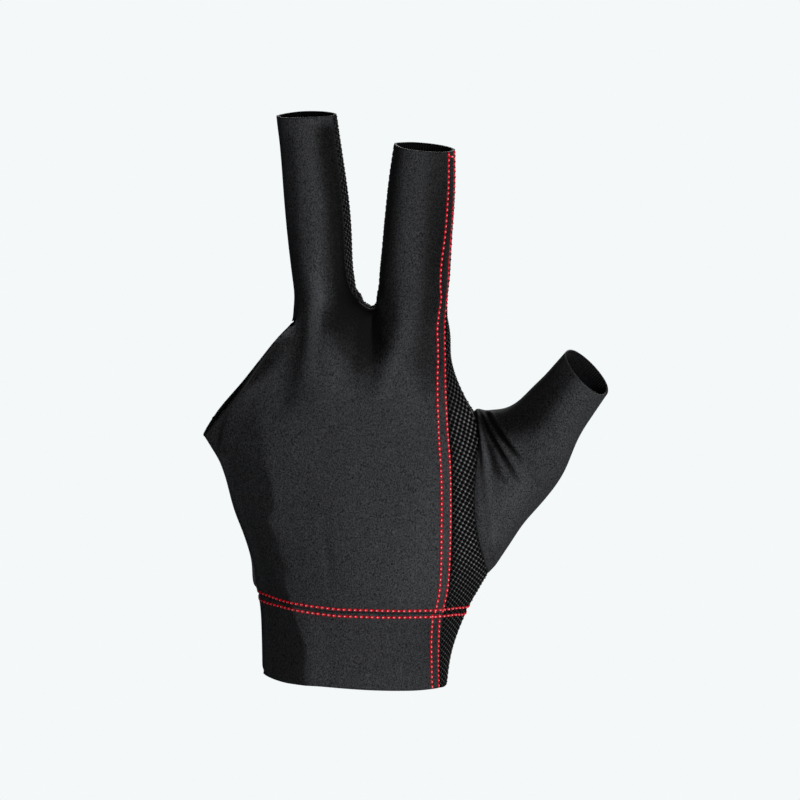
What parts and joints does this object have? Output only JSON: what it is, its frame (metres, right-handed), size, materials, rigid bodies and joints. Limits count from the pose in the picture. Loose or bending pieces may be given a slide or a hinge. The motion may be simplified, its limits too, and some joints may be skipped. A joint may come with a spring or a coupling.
{
  "type": "billiard glove",
  "caption": "Stretch billiard glove with open thumb, index and middle finger tubes, a slanted opening for the other fingers, a mesh palm and a cuff band.",
  "frame": {"origin": "middle of the wrist opening, between the back of the hand and the palm", "axes": "+Z from the wrist to the fingertips, +X to the thumb, -Y out of the back of the hand"},
  "size_m": [0.1386, 0.0409, 0.1989],
  "materials": {
    "knit": "smooth black stretch knit with a soft satin sheen",
    "mesh": "black open mesh knit with small glossy knots",
    "binding": "matt black overlocked edge",
    "red_thread": "glossy red sewing thread",
    "black_thread": "black sewing thread"
  },
  "bodies": {
    "root": {"back_panel": "knit", "palm_panel": "mesh", "thumb_sleeve": "knit", "cuff_band_back": "knit", "cuff_band_palm": "mesh", "opening_binding": "binding"}
  },
  "joints": []
}
